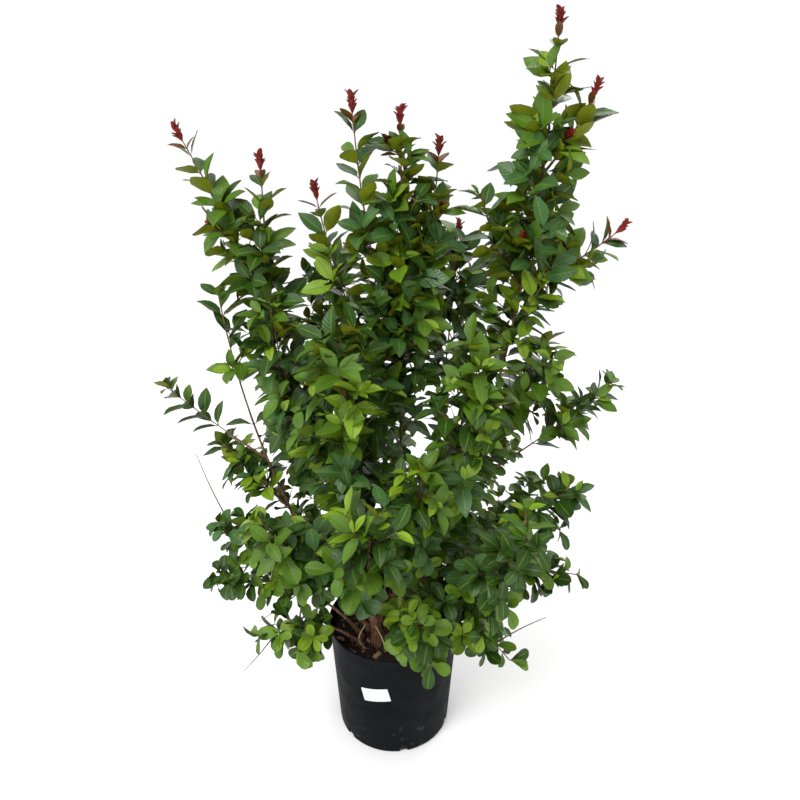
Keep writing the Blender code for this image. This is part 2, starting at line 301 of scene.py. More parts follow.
LIMBS = {
    # Stems that rise from the soil
    "stem_right": Limb((0.016, 0.012), (0.252, 0.01, 1.349), 0.06, 0.075, 0.5, 0.0065),
    "stem_left": Limb((-0.026, 0.022), (-0.347, 0.02, 1.189), -0.036, 0.06, 0.5, 0.0055),
    "stem_centre": Limb((0.0, -0.006), (0.013, -0.02, 1.213), 0.012, 0.07, 0.42, 0.006),
    "stem_main": Limb((-0.030, -0.040), (-0.08, -0.15, 0.92), 0.02, 0.095, 0.42, 0.0105),
    "stem_dark": Limb((-0.052, -0.008), (-0.301, 0.0, 0.96), 0.05, 0.052, 0.6, 0.0048),
    "stem_back_left": Limb((-0.022, 0.055), (-0.14, 0.22, 1.0), 0.03, 0.085, 0.5, 0.005),
    "stem_back_right": Limb((0.03, 0.045), (0.13, 0.23, 1.02), 0.03, 0.085, 0.5, 0.005),
    "stem_front": Limb((0.022, -0.034), (0.14, -0.14, 0.90), 0.02, 0.09, 0.42, 0.0055),
    # Boughs that leave the soil low and spread over the pot's rim
    "low_right": Limb((0.052, -0.012), (0.394, -0.05, 0.377), -0.07, 0.055, 0.33, 0.0042),
    "low_droop": Limb((0.046, -0.04), (0.242, -0.15, 0.228), -0.075, 0.042, 0.36, 0.0035),
    "low_left": Limb((-0.064, -0.03), (-0.381, -0.05, 0.372), -0.06, 0.045, 0.36, 0.004),
    "low_left_front": Limb((-0.064, -0.056), (-0.281, -0.15, 0.298), -0.05, 0.042, 0.4, 0.0035),
    "low_back": Limb((0.006, 0.075), (0.02, 0.34, 0.33), -0.06, 0.062, 0.35, 0.004),
    # Boughs that part from the stems, bare at first
    "right_arm": Limb(("stem_right", 0.3), (0.419, 0.0, 0.79), 0.012, 0.038, 0.4, 0.0035),
    "left_arm": Limb(("stem_dark", 0.55), (-0.434, 0.0, 0.779), 0.004, 0.028, 0.38, 0.0025),
    # Right-hand side
    "right_plume_side": Limb(("stem_right", 0.8), (0.323, 0.02, 1.253), 0.008, 0.03),
    "right_plume_low": Limb(("stem_right", 0.64), (0.387, 0.0, 1.042), 0.01, 0.04),
    "right_plume_inner": Limb(("stem_right", 0.66), (0.138, -0.02, 1.12), 0.02, 0.04),
    "right_upper": Limb(("stem_right", 0.42), (0.276, 0.0, 0.86), 0.03, 0.068),
    "right_mid": Limb(("stem_right", 0.16), (0.345, -0.04, 0.60), 0.03, 0.075),
    "right_front": Limb(("stem_front", 0.2), (0.225, -0.24, 0.62), 0.03, 0.08),
    "right_low_front": Limb(("stem_front", 0.08), (0.2, -0.2, 0.37), -0.02, 0.06),
    # Left-hand side
    "left_plume_side": Limb(("stem_left", 0.7), (-0.211, 0.0, 1.147), 0.012, 0.038),
    "left_mid": Limb(("stem_dark", 0.4), (-0.352, 0.03, 0.66), 0.0, 0.05),
    "left_cluster": Limb(("stem_dark", 0.2), (-0.36, -0.05, 0.52), 0.0, 0.055),
    "low_front_left": Limb(("low_left_front", 0.3), (-0.194, -0.18, 0.273), -0.02, 0.036),
    "left_front": Limb(("stem_main", 0.28), (-0.215, -0.23, 0.64), 0.03, 0.075),
    "left_upper": Limb(("stem_left", 0.36), (-0.2, -0.06, 0.96), 0.03, 0.07),
    # Middle
    "centre_plume_left": Limb(("stem_centre", 0.56), (-0.061, -0.03, 1.23), 0.012, 0.045),
    "centre_plume_right": Limb(("stem_centre", 0.56), (0.075, 0.0, 1.17), 0.012, 0.048),
    "centre_plume_far": Limb(("stem_centre", 0.5), (-0.126, 0.0, 1.102), 0.02, 0.042),
    "centre_front": Limb(("stem_main", 0.3), (-0.03, -0.29, 0.67), 0.03, 0.085),
    "centre_mid": Limb(("stem_centre", 0.2), (0.05, -0.24, 0.74), 0.03, 0.075),
    "centre_low": Limb(("stem_front", 0.12), (0.04, -0.27, 0.47), 0.02, 0.062),
    "low_front": Limb(("stem_front", 0.04), (0.075, -0.25, 0.31), -0.03, 0.05),
    # Back
    "back_mid_left": Limb(("stem_back_left", 0.25), (-0.27, 0.25, 0.64), 0.03, 0.085),
    "back_mid": Limb(("stem_back_left", 0.3), (0.0, 0.35, 0.64), 0.03, 0.085),
    "back_mid_right": Limb(("stem_back_right", 0.25), (0.27, 0.25, 0.66), 0.03, 0.085),
    "back_low_left": Limb(("stem_back_left", 0.06), (-0.25, 0.23, 0.36), -0.01, 0.065),
    "back_low_right": Limb(("stem_back_right", 0.06), (0.26, 0.23, 0.35), -0.01, 0.065),
}

# Limbs that end in young red leaves, and the share of side growth kept on thin ones
FLUSHED = (
    "stem_right", "stem_left", "stem_centre", "stem_back_left", "stem_back_right",
    "right_plume_side", "right_plume_low", "left_plume_side",
    "centre_plume_left", "centre_plume_right", "centre_plume_far",
)
THIN = {"stem_dark": 0.55, "left_arm": 0.8}

# Leafless twigs: foot (moved to the nearest limb) and tip
BARE_TWIGS = (
    ((0.103, 0.0, 0.80), (0.095, 0.0, 0.997)),
    ((0.267, 0.0, 0.69), (0.262, 0.0, 0.834)),
    ((-0.33, -0.02, 0.54), (-0.366, -0.01, 0.625)),
    ((0.22, -0.05, 0.27), (0.303, -0.05, 0.285)),
    ((-0.20, -0.05, 0.30), (-0.268, -0.05, 0.275)),
    ((-0.22, -0.12, 0.26), (-0.285, -0.13, 0.225)),
)


# Limb axes


def rooted(limb):
    return not isinstance(limb.start[0], str)


def limb_start(limb):
    if rooted(limb):
        return Vector((*limb.start, SOIL_TOP + CLEARANCE))
    parent, share = limb.start
    return axis_point(LIMBS[parent], share)


def axis_point(limb, share):
    """A point on the limb's axis: a parabola from its start to its tip."""
    start, tip = limb_start(limb), Vector(limb.tip)
    chord = tip - start
    level = Vector((chord.x, chord.y, 0.0))
    outward = (level.normalized() * chord.z - Vector((0, 0, level.length))) / chord.length
    return start + chord * share + outward * limb.bow * 4 * share * (1 - share)


def axis_length(limb):
    marks = [axis_point(limb, i / AXIS_PARTS) for i in range(AXIS_PARTS + 1)]
    return sum((b - a).length for a, b in zip(marks, marks[1:]))


def direction(limb, share):
    step = 0.01
    return (axis_point(limb, share + step) - axis_point(limb, share - step)).normalized()


def across(axis, chance):
    """A random direction square to this one."""
    other = Vector([chance.gauss(0, 1) for _ in range(3)])
    return (other - axis * other.dot(axis)).normalized()


def limb_radius(limb, share, length):
    """The true taper of the bare part, running out to a thin end among the leaves."""
    if limb.radius and share <= limb.bare:
        tapered = limb.radius * (1 - (1 - LIMB_TIP_SHARE) * share / limb.bare)
    else:
        first = limb.radius * LIMB_TIP_SHARE if limb.radius else HIDDEN_RADIUS
        run = (share - limb.bare) / (1 - limb.bare)
        tapered = first + (LIMB_END_RADIUS - first) * run
    flare = FLARE_SHARE * math.exp(-share * length / FLARE_HEIGHT) if rooted(limb) else 0.0
    return tapered * (1 + flare)


def mass_radius(share):
    """How the width of a mass of leaves swells from its foot and tapers to its tip."""
    swell = math.sin(min(share / MASS_SWELL, 1.0) * math.pi / 2) ** SWELL_POWER
    return swell * (1 - MASS_TAPER * share**TAPER_POWER)


def nearest_on_limbs(point):
    """The nearest spot on the inner three quarters of any limb."""
    parts = 20
    shares = [i / parts for i in range(parts * 3 // 4 + 1)]
    spots = [axis_point(limb, share) for limb in LIMBS.values() for share in shares]
    return min(spots, key=lambda spot: (spot - point).length)


# Room for growth


def wall_radius(z):
    """Outer radius of the pot's wall at this height."""
    return POT_BASE_RADIUS + (POT_TOP_RADIUS - LIP_PROUD - POT_BASE_RADIUS) * z / POT_HEIGHT


def soil_radius(z):
    """Outer radius of the soil at this height, just clear of the wall."""
    return wall_radius(z) - POT_WALL - CLEARANCE


def in_the_way(point):
    """Whether a point is in or too near the pot's rim, the soil or the floor."""
    reach = math.hypot(point.x, point.y)
    if point.z < FLOOR_MARGIN:
        return True
    if point.z > POT_HEIGHT + RIM_MARGIN or reach > POT_TOP_RADIUS + RIM_MARGIN:
        return False
    return reach > POT_TOP_RADIUS - RIM_BAND or point.z < SOIL_TOP + RIM_MARGIN


def past_box(point):
    """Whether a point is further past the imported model's box than a leaf may reach."""
    low, high = cad_box
    return any(p < near - BOX_MARGIN or p > far + BOX_MARGIN for p, near, far in zip(point, low, high))


# Material nodes


def shader_of(name):
    made = bpy.data.materials.new(name)
    made.use_nodes = True
    return made, made.node_tree, made.node_tree.nodes["Principled BSDF"]


def noise_node(tree, scale, detail=3.0):
    place = tree.nodes.new("ShaderNodeTexCoord")
    made = tree.nodes.new("ShaderNodeTexNoise")
    made.inputs["Scale"].default_value = scale
    made.inputs["Detail"].default_value = detail
    tree.links.new(place.outputs["Object"], made.inputs["Vector"])
    return made


def ramp(tree, source, stops):
    """Colours or greys chosen by a value: stops of (place, colour)."""
    made = tree.nodes.new("ShaderNodeValToRGB")
    band = made.color_ramp
    while len(band.elements) < len(stops):
        band.elements.new(0.5)
    for element, (place, colour) in zip(band.elements, stops):
        element.position = place
        element.color = (*colour, 1.0)
    tree.links.new(source, made.inputs["Fac"])
    return made


def between(first, second):
    """Stops that run from one colour to the other over the middle of a noise."""
    return (0.3, first), (0.7, second)


def math_node(tree, operation, first, second=None):
    made = tree.nodes.new("ShaderNodeMath")
    made.operation = operation
    for socket, value in zip(made.inputs, (first, second)):
        if isinstance(value, (int, float)):
            socket.default_value = value
        elif value is not None:
            tree.links.new(value, socket)
    return made.outputs["Value"]


def bump(tree, shader, height, strength, distance):
    made = tree.nodes.new("ShaderNodeBump")
    made.inputs["Strength"].default_value = strength
    made.inputs["Distance"].default_value = distance
    tree.links.new(height, made.inputs["Height"])
    tree.links.new(made.outputs["Normal"], shader.inputs["Normal"])


def shade(colour, factor):
    return tuple(min(c * factor, 1.0) for c in colour)


def grey(value):
    return (value, value, value)


# Materials


def leaf_material(name, colour, roughness, veins):
    """A leaf surface: its colour drifts over the plant and along the blade, with side veins in relief."""
    made, tree, shader = shader_of(name)
    drift = noise_node(tree, LEAF_DRIFT_SCALE)
    stops = between(shade(colour, 1 - LEAF_DRIFT), shade(colour, 1 + LEAF_DRIFT))
    tint = ramp(tree, drift.outputs["Fac"], stops)
    tree.links.new(tint.outputs["Color"], shader.inputs["Base Color"])
    shader.inputs["Roughness"].default_value = roughness
    shader.inputs["Specular IOR Level"].default_value = LEAF_SPECULAR
    place = tree.nodes.new("ShaderNodeUVMap")
    place.uv_map = "leaf"
    split = tree.nodes.new("ShaderNodeSeparateXYZ")
    tree.links.new(place.outputs["UV"], split.inputs["Vector"])
    side = math_node(tree, "ABSOLUTE", split.outputs["X"])
    slant = math_node(tree, "MULTIPLY", side, VEIN_SLANT)
    along = math_node(tree, "MULTIPLY", split.outputs["Y"], VEIN_PAIRS)
    phase = math_node(tree, "SUBTRACT", along, slant)
    wave = math_node(tree, "SINE", math_node(tree, "MULTIPLY", phase, 2 * math.pi))
    bump(tree, shader, wave, veins, VEIN_DEPTH)
    return made


def leaf_materials():
    """A material for each leaf surface, in the order of their slots; the rib has no side veins."""
    return [
        leaf_material(name, colour, roughness, 0.0 if name == "leaf_rib" else VEIN_RELIEF)
        for name, (colour, roughness) in LEAF_SURFACES.items()
    ]


def mottled(name, dark, light, scale, roughness, relief, distance):
    """A rough natural surface: two colours mixed by a noise, and a finer noise in relief."""
    detail, specular, finer = 6.0, 0.3, 3.1
    made, tree, shader = shader_of(name)
    tint = ramp(tree, noise_node(tree, scale, detail).outputs["Fac"], between(dark, light))
    tree.links.new(tint.outputs["Color"], shader.inputs["Base Color"])
    shader.inputs["Roughness"].default_value = roughness
    shader.inputs["Specular IOR Level"].default_value = specular
    bump(tree, shader, noise_node(tree, scale * finer, detail).outputs["Fac"], relief, distance)
    return made


def bark_material():
    """Thin peeling bark: long fibres up the stem, brown and tan."""
    made, tree, shader = shader_of("bark")
    place = tree.nodes.new("ShaderNodeTexCoord")
    stretch = tree.nodes.new("ShaderNodeMapping")
    stretch.inputs["Scale"].default_value = (1.0, 1.0, 0.12)
    fibres = tree.nodes.new("ShaderNodeTexNoise")
    fibres.inputs["Scale"].default_value = 420.0
    fibres.inputs["Detail"].default_value = 5.0
    tree.links.new(place.outputs["Object"], stretch.inputs["Vector"])
    tree.links.new(stretch.outputs["Vector"], fibres.inputs["Vector"])
    stops = ((0.28, (0.035, 0.017, 0.009)), (0.5, (0.14, 0.066, 0.034)), (0.72, (0.30, 0.185, 0.105)))
    tint = ramp(tree, fibres.outputs["Fac"], stops)
    tree.links.new(tint.outputs["Color"], shader.inputs["Base Color"])
    shader.inputs["Roughness"].default_value = 0.82
    bump(tree, shader, fibres.outputs["Fac"], 0.7, 0.0008)
    return made


def bark_materials():
    """Bark, and the pale and dark curls that peel off it."""
    return [
        bark_material(),
        mottled("bark_peel", (0.20, 0.11, 0.06), (0.42, 0.28, 0.17), 300.0, 0.85, 0.5, 0.0005),
        mottled("bark_film", (0.10, 0.05, 0.03), (0.24, 0.14, 0.08), 300.0, 0.85, 0.5, 0.0005),
    ]


def twig_materials():
    """Brown, green and russet twigs, and dead straw-coloured ones."""
    return [
        mottled("twig_brown", (0.06, 0.032, 0.018), (0.15, 0.085, 0.048), 260.0, 0.75, 0.4, 0.0004),
        mottled("twig_green", (0.10, 0.12, 0.03), (0.19, 0.18, 0.06), 200.0, 0.6, 0.3, 0.0003),
        mottled("twig_russet", (0.14, 0.045, 0.022), (0.24, 0.09, 0.045), 200.0, 0.6, 0.3, 0.0003),
        mottled("twig_straw", (0.36, 0.27, 0.15), (0.56, 0.45, 0.28), 260.0, 0.8, 0.4, 0.0004),
    ]


def soil_materials():
    """Dark earth, and the tan, red-brown and dark chips of bark on it."""
    return [
        mottled("soil_mix", (0.006, 0.004, 0.003), (0.040, 0.022, 0.013), 240.0, 0.95, 1.0, 0.002),
        mottled("bark_chip", (0.16, 0.09, 0.05), (0.34, 0.22, 0.14), 160.0, 0.85, 0.6, 0.001),
        mottled("red_chip", (0.06, 0.02, 0.012), (0.14, 0.055, 0.03), 160.0, 0.85, 0.6, 0.001),
        mottled("dark_chip", (0.012, 0.008, 0.006), (0.05, 0.03, 0.02), 160.0, 0.9, 0.6, 0.001),
    ]


def plastic_material():
    """Moulded matt plastic, blue-black, with pale dust rubbed on the lower wall."""
    made, tree, shader = shader_of("pot_plastic")
    drift = noise_node(tree, 9.0, 4.0).outputs["Fac"]
    base = ramp(tree, drift, between((0.0016, 0.0028, 0.0040), (0.0034, 0.0050, 0.0066)))
    rubbed = noise_node(tree, 62.0, 8.0).outputs["Fac"]
    dust = ramp(tree, rubbed, ((0.60, grey(0.0)), (0.74, grey(1.0))))
    place = tree.nodes.new("ShaderNodeTexCoord")
    split = tree.nodes.new("ShaderNodeSeparateXYZ")
    tree.links.new(place.outputs["Object"], split.inputs["Vector"])
    height = math_node(tree, "MULTIPLY", split.outputs["Z"], 1 / POT_HEIGHT)
    low = ramp(tree, height, ((0.0, grey(1.0)), (0.42, grey(0.05))))
    amount = math_node(tree, "MULTIPLY", dust.outputs["Color"], low.outputs["Color"])
    amount = math_node(tree, "MULTIPLY", amount, 0.55)
    mix = tree.nodes.new("ShaderNodeMixRGB")
    mix.inputs["Color2"].default_value = (0.12, 0.10, 0.08, 1.0)
    tree.links.new(amount, mix.inputs["Fac"])
    tree.links.new(base.outputs["Color"], mix.inputs["Color1"])
    tree.links.new(mix.outputs["Color"], shader.inputs["Base Color"])
    rough = ramp(tree, noise_node(tree, 30.0, 5.0).outputs["Fac"], between(grey(0.5), grey(0.68)))
    tree.links.new(rough.outputs["Color"], shader.inputs["Roughness"])
    shader.inputs["Specular IOR Level"].default_value = 0.06
    bump(tree, shader, noise_node(tree, 700.0, 2.0).outputs["Fac"], 0.12, 0.0003)
    return made


def paper_material():
    return mottled("label_paper", (0.62, 0.63, 0.64), (0.72, 0.72, 0.71), 70.0, 0.42, 0.12, 0.0004)


# Mesh making


def placed(name, data):
    """An object of this name in the scene, made of a mesh, a lamp or a camera."""
    made = bpy.data.objects.new(name, data)
    bpy.context.scene.collection.objects.link(made)
    return made


def piece(name, points, faces, materials, slots=None, smooth=True):
    """An object made of these points and faces, each face with the number of its material."""
    mesh = bpy.data.meshes.new(name)
    mesh.from_pydata(points, [], faces)
    if slots is not None:
        mesh.polygons.foreach_set("material_index", np.asarray(slots, np.int32))
    mesh.polygons.foreach_set("use_smooth", np.full(len(mesh.polygons), smooth))
    for surface in materials:
        mesh.materials.append(surface)
    mesh.validate()
    return placed(name, mesh)


def ridge(spot):
    """How far bark stands out at a spot: ridges that run up the stem, with finer ones on them."""
    coarse = noise.noise(Vector((spot.x, spot.y, spot.z * RIDGE_STRETCH)))
    return coarse + FINE_SHARE * noise.noise(spot * FINE_SCALE)


class Tubes:
    """Round limbs and twigs gathered into one mesh."""

    def __init__(self):
        self.points, self.faces, self.slots = [], [], []

    def add(self, path, radii, sides, slot, relief=0.0):
        """A tapering tube along a path, its surface uneven by the relief, closed at both ends."""
        first = len(self.points)
        side = None
        for i, (point, radius) in enumerate(zip(path, radii)):
            along = (path[min(i + 1, len(path) - 1)] - path[max(i - 1, 0)]).normalized()
            if side is None:
                side = along.orthogonal().normalized()
            side = (side - along * side.dot(along)).normalized()
            other = along.cross(side)
            for k in range(sides):
                angle = 2 * math.pi * k / sides
                out = side * math.cos(angle) + other * math.sin(angle)
                wide = radius
                if relief:
                    wide *= 1 + relief * ridge(point * BARK_GRAIN + out * 1.7)
                self.points.append(point + out * wide)
        for i in range(len(path) - 1):
            low, high = first + i * sides, first + (i + 1) * sides
            for k in range(sides):
                j = (k + 1) % sides
                self.faces.append((low + k, low + j, high + j, high + k))
                self.slots.append(slot)
        last = first + (len(path) - 1) * sides
        self.faces.append(tuple(first + k for k in reversed(range(sides))))
        self.faces.append(tuple(last + k for k in range(sides)))
        self.slots += [slot, slot]

    def build(self, name, materials):
        return piece(name, self.points, self.faces, materials, self.slots)


def blade_faces(count, columns, turned):
    """Faces of one side of every blade, the strip that each face is in, and how many a blade has."""
    rows = len(BLADE_ROWS)
    grid = np.arange(rows * columns).reshape(rows, columns)
    corners = (grid[:-1, :-1], grid[:-1, 1:], grid[1:, 1:], grid[1:, :-1])
    one = np.stack(corners, axis=-1).reshape(-1, 4)
    if turned:
        one = one[:, ::-1]
    strips = np.tile(np.arange(columns - 1), rows - 1)
    shift = np.arange(count)[:, None, None] * rows * columns
    return (one[None] + shift).reshape(-1, 4), np.tile(strips, count), len(one)


def blade_mesh(name, points, faces, slots, marks):
    """A smooth mesh of four-sided faces from arrays, mapped by each point's place on its blade."""
    mesh = bpy.data.meshes.new(name)
    mesh.vertices.add(len(points))
    mesh.vertices.foreach_set("co", points.astype(np.float32).ravel())
    mesh.loops.add(faces.size)
    mesh.loops.foreach_set("vertex_index", faces.astype(np.int32).ravel())
    mesh.polygons.add(len(faces))
    mesh.polygons.foreach_set("loop_start", np.arange(0, faces.size, 4, dtype=np.int32))
    mesh.polygons.foreach_set("material_index", slots.astype(np.int32))
    mesh.polygons.foreach_set("use_smooth", np.ones(len(faces), bool))
    places = marks[faces.ravel()].astype(np.float32)
    mesh.uv_layers.new(name="leaf").data.foreach_set("uv", places.ravel())
    mesh.update(calc_edges=True)
    return mesh


class Leaves:
    """Leaves of one region, gathered into one mesh. A row holds a leaf's foot, side, direction, normal,
    length, width, fold, curl, the two powers of its outline, and the slots of its two sides."""

    def __init__(self):
        self.rows = []

    def add(self, foot, along, normal, length, width, fold, curl, powers, upper, under):
        tip = foot + along * length
        if in_the_way(foot + along * length * 0.5) or in_the_way(tip) or past_box(tip):
            return
        normal = (normal - along * normal.dot(along)).normalized()
        side = along.cross(normal)
        self.rows.append((*foot, *side, *along, *normal, length, width, fold, curl, *powers, upper, under))

    def sheet(self, data, places, lift):
        """Points of every blade at these places across it, and their place on the blade."""
        foot, side, along, normal = (data[:, i : i + 3] for i in (0, 3, 6, 9))
        length, width, fold, curl, low, high = (data[:, i] for i in range(12, 18))
        share = np.clip((BLADE_ROWS - PETIOLE_SHARE) / (1 - PETIOLE_SHARE), 0.0, 1.0)
        peak = (low / (low + high)) ** low * (high / (low + high)) ** high
        outline = share[None, :] ** low[:, None] * (1 - share[None, :]) ** high[:, None] / peak[:, None]
        petiole = PETIOLE_HALF * (BLADE_ROWS < PETIOLE_END)[None, :]
        half = np.maximum(outline * width[:, None] / 2, petiole)
        out = half[:, :, None] * places[None, None, :]
        turn = curl[:, None] * BLADE_ROWS[None, :]
        run = (length[:, None] * np.sin(turn) / curl[:, None])[:, :, None]
        drop = (length[:, None] * (1 - np.cos(turn)) / curl[:, None])[:, :, None]
        wave = np.sin(BLADE_ROWS * RIPPLE_WAVES + data[:, :1] * RIPPLE_SPREAD)[:, :, None]
        ripple = RIPPLE_DEPTH * width[:, None, None] * wave
        rise = fold[:, None, None] * np.abs(out) - drop + lift
        rise = rise + ripple * np.abs(places)[None, None, :]
        points = foot[:, None, None, :] + out[..., None] * side[:, None, None, :]
        points = points + run[..., None] * along[:, None, None, :]
        points = points + rise[..., None] * normal[:, None, None, :]
        marks = np.stack(np.broadcast_arrays(places[None, :], BLADE_ROWS[:, None]), axis=-1)
        return points.reshape(-1, 3), np.tile(marks.reshape(-1, 2), (len(data), 1))

    def build(self, name, materials):
        data = np.array(self.rows)
        upper, under = data[:, 18:].astype(int).T
        top, top_marks = self.sheet(data, UPPER_ACROSS, 0.0)
        low, low_marks = self.sheet(data, LOWER_ACROSS, -BLADE_THICK)
        top_faces, strips, top_each = blade_faces(len(data), len(UPPER_ACROSS), False)
        low_faces, _, low_each = blade_faces(len(data), len(LOWER_ACROSS), True)
        slots = np.repeat(upper, top_each)
        green = (slots != SLOT["leaf_red"]) & (slots != SLOT["leaf_bronze"])
        slots[(strips == len(UPPER_ACROSS) // 2 - 1) & green] = SLOT["leaf_rib"]
        slots = np.concatenate([slots, np.repeat(under, low_each)])
        faces = np.concatenate([top_faces, low_faces + len(top)])
        points, marks = np.concatenate([top, low]), np.concatenate([top_marks, low_marks])
        mesh = blade_mesh(name, points, faces, slots, marks)
        for surface in materials:
            mesh.materials.append(surface)
        return placed(name, mesh)


# Growth


def group_of(name):
    """The piece of foliage that a limb's leaves go into."""
    if "plume" in name or name in ("stem_right", "stem_left", "stem_centre"):
        return "high"
    if "back" in name:
        return "back"
    if "low" in name:
        return "low"
    if "left" in name or name == "stem_dark":
        return "left"
    return "right" if "right" in name else "middle"


def spray_slots(height, chance):
    """The upper and lower colours of a spray of leaves, by how high it grows."""
    if height > PLUME_HEIGHT:
        upper = chance.choices(("leaf_mid", "leaf_deep", "leaf_blue", "leaf_bright"), (4, 3, 3, 2.0))[0]
        return SLOT[upper], SLOT["under_olive"]
    if height > SKIRT_HEIGHT:
        upper = chance.choices(("leaf_mid", "leaf_deep", "leaf_blue", "leaf_fresh"), (4, 4, 2.5, 1.2))[0]
        return SLOT[upper], SLOT[chance.choice(("under_olive", "under_pale"))]
    upper = chance.choices(("leaf_mid", "leaf_deep", "leaf_bright", "leaf_fresh"), (3, 3, 3.5, 1.6))[0]
    return SLOT[upper], SLOT["under_pale"]


def leaf_length(height):
    """Blades are longest on the high plumes."""
    return LEAF_LENGTH + LEAF_LONGER * min(max((height - POT_HEIGHT) / LEAF_LONGER_OVER, 0.0), 1.0)


def blade_form(pointed, chance):
    """The powers of a blade's outline and its width: pointed high on the plant, rounder below."""
    if pointed:
        low, high = POINTED_POWERS
        return (low, chance.uniform(*high)), chance.uniform(*POINTED_WIDTH)
    low, high = ROUND_POWERS
    return (chance.uniform(*low), high), chance.uniform(*ROUND_WIDTH)


def grow_leaf(leaves, foot, stem_way, out, size, slots, chance):
    """One leaf, leaning out from its twig, its face turned to the sky and a little to the front."""
    high = foot.z > LEAN_HEIGHT
    lean = math.radians(chance.uniform(*(LEAF_LEAN_HIGH_DEG if high else LEAF_LEAN_LOW_DEG)))
    along = stem_way * math.cos(lean) + out * math.sin(lean)
    along = (along + Vector((0, 0, chance.uniform(*LEAF_LIFT)))).normalized()
    face = stem_way * FACE_ALONG + UP * (FACE_UP_HIGH if high else chance.uniform(*FACE_UP_LOW))
    face -= Vector((0, FACE_FRONT, 0)) * chance.random()
    face += Vector([chance.gauss(0, FACE_SPREAD) for _ in range(3)])
    length = size * chance.uniform(*LEAF_SIZES)
    powers, width = blade_form(foot.z > POINTED_HEIGHT, chance)
    fold, curl = chance.uniform(*LEAF_FOLD), chance.uniform(*LEAF_CURL)
    leaves.add(foot, along, face, length, length * width, fold, curl, powers, *slots)


def grow_flush(leaves, twigs, tip, way, chance, small=1.0):
    """The tight bunch of young red leaves at the end of a shoot, over a pair of bronze ones."""
    length = FLUSH_LENGTH * small
    foot = tip - way * length
    stalk = [foot - way * FLUSH_STALK, foot, tip - way * length * 0.4]
    twigs.add(stalk, FLUSH_STALK_RADII, TWIG_SIDES, RUSSET)
    red, bronze = SLOT["leaf_red"], SLOT["leaf_bronze"]
    for tier in range(FLUSH_TIERS):
        base = foot + way * length * FLUSH_TIER_STEP * tier
        turn = across(way, chance)
        for side in (turn, -turn, way.cross(turn)):
            lean = math.radians(chance.uniform(*RED_LEAN_DEG))
            along = (way * math.cos(lean) + side * math.sin(lean)).normalized()
            size = length * chance.uniform(*RED_SIZES)
            upper = chance.choice((red, red, bronze))
            leaves.add(base, along, way - side, size, size * RED_WIDTH, *RED_BLADE, upper, red)
    turn = across(way, chance)
    for side in (turn, -turn):
        along = (way * 0.62 + side * 0.78).normalized()
        size = BRONZE_LENGTH * small * chance.uniform(*BRONZE_SIZES)
        base = foot - way * BRONZE_BACK
        leaves.add(base, along, way, size, size * BRONZE_WIDTH, *BRONZE_BLADE, bronze, bronze)


def grow_shoot(leaves, twigs, start, way, length, chance, flush=False):
    """A side twig that bends up to the light, with opposite pairs of leaves and a closing pair."""
    steps = max(2, round(length / SHOOT_STEP))
    lift = chance.uniform(*SHOOT_LIFT)
    shares = [i / steps for i in range(steps + 1)]
    path = [start + way * length * share + Vector((0, 0, lift * length * share**2)) for share in shares]
    if in_the_way(path[-1]):
        return
    slots = spray_slots(path[-1].z, chance)
    radii = [SHOOT_RADIUS - SHOOT_TAPER * i / steps for i in range(steps + 1)]
    twigs.add(path, radii, TWIG_SIDES, chance.choice((BROWN, GREEN, RUSSET)))
    turn = across(way, chance)
    size = leaf_length(start.z)
    for i in range(1, steps + 1):
        bend = (path[i] - path[i - 1]).normalized()
        turn = bend.cross(turn).normalized()
        young = 1.0 - LAST_PAIR_LESS * (i == steps)
        for side in (turn, -turn):
            if chance.random() < LEAF_CHANCE:
                grow_leaf(leaves, path[i], bend, side, size * young, slots, chance)
    end = (path[-1] - path[-2]).normalized()
    if flush:
        grow_flush(leaves, twigs, path[-1] + end * FLUSH_AHEAD, end, chance, FLUSH_SMALL)
        return
    fresh = (SLOT["leaf_fresh"], SLOT["under_pale"]) if chance.random() < CLOSING_FRESH else slots
    for side in (across(end, chance), across(end, chance)):
        way_out = (end + side * CLOSING_SPREAD).normalized()
        grow_leaf(leaves, path[-1], way_out, side, size * chance.uniform(*CLOSING_SIZES), fresh, chance)


def grow_limb(name, limb, leaves, twigs):
    """The leafy part of a limb: side shoots as long as the mass is wide there, then leaves only."""
    chance = random.Random(f"{SEED} {name}")
    leafy = axis_length(limb) * (1 - limb.bare)
    count = max(4, round(leafy / NODE_STEP))
    turn = across(direction(limb, limb.bare), chance)
    for node in range(count):
        share = (node + chance.uniform(*NODE_PLACE)) / count * (1 - NODE_SHORT / leafy)
        spot = limb.bare + (1 - limb.bare) * share
        foot, way = axis_point(limb, spot), direction(limb, spot)
        turn = way.cross((turn - way * turn.dot(way)).normalized())
        turn = Matrix.Rotation(chance.uniform(-NODE_TURN, NODE_TURN), 3, way) @ turn
        size = min(leaf_length(foot.z), LEAF_LEAST + LEAF_ROOM * leafy * (1 - share))
        reach = limb.girth * mass_radius(share) * chance.uniform(*SIDE_REACH)
        for side in (turn, -turn):
            if chance.random() > THIN.get(name, 1.0):
                continue
            lean = math.radians(chance.uniform(*SIDE_LEAN_DEG))
            out = (way * math.cos(lean) + side * math.sin(lean)).normalized()
            shoot = min(reach / math.sin(lean) - size * LEAF_PAST_SHOOT, SHOOT_MOST)
            if shoot > SHOOT_LEAST:
                flush = foot.z > FLUSH_HEIGHT and chance.random() < FLUSH_CHANCE
                grow_shoot(leaves, twigs, foot, out, shoot, chance, flush)
            slots = spray_slots(foot.z, chance)
            # Painted shade: below the plumes, most leaves on the inner share of a limb take the deep green on
            # both sides
            if foot.z < PLUME_HEIGHT and share < INNER_SHARE and chance.random() < INNER_PAINTED_SHADE:
                slots = (SLOT["leaf_deep"], SLOT["leaf_deep"])
            grow_leaf(leaves, foot, way, side, size * (1 - TIP_LESS * share), slots, chance)
    close_limb(name, limb, leaves, twigs, chance)


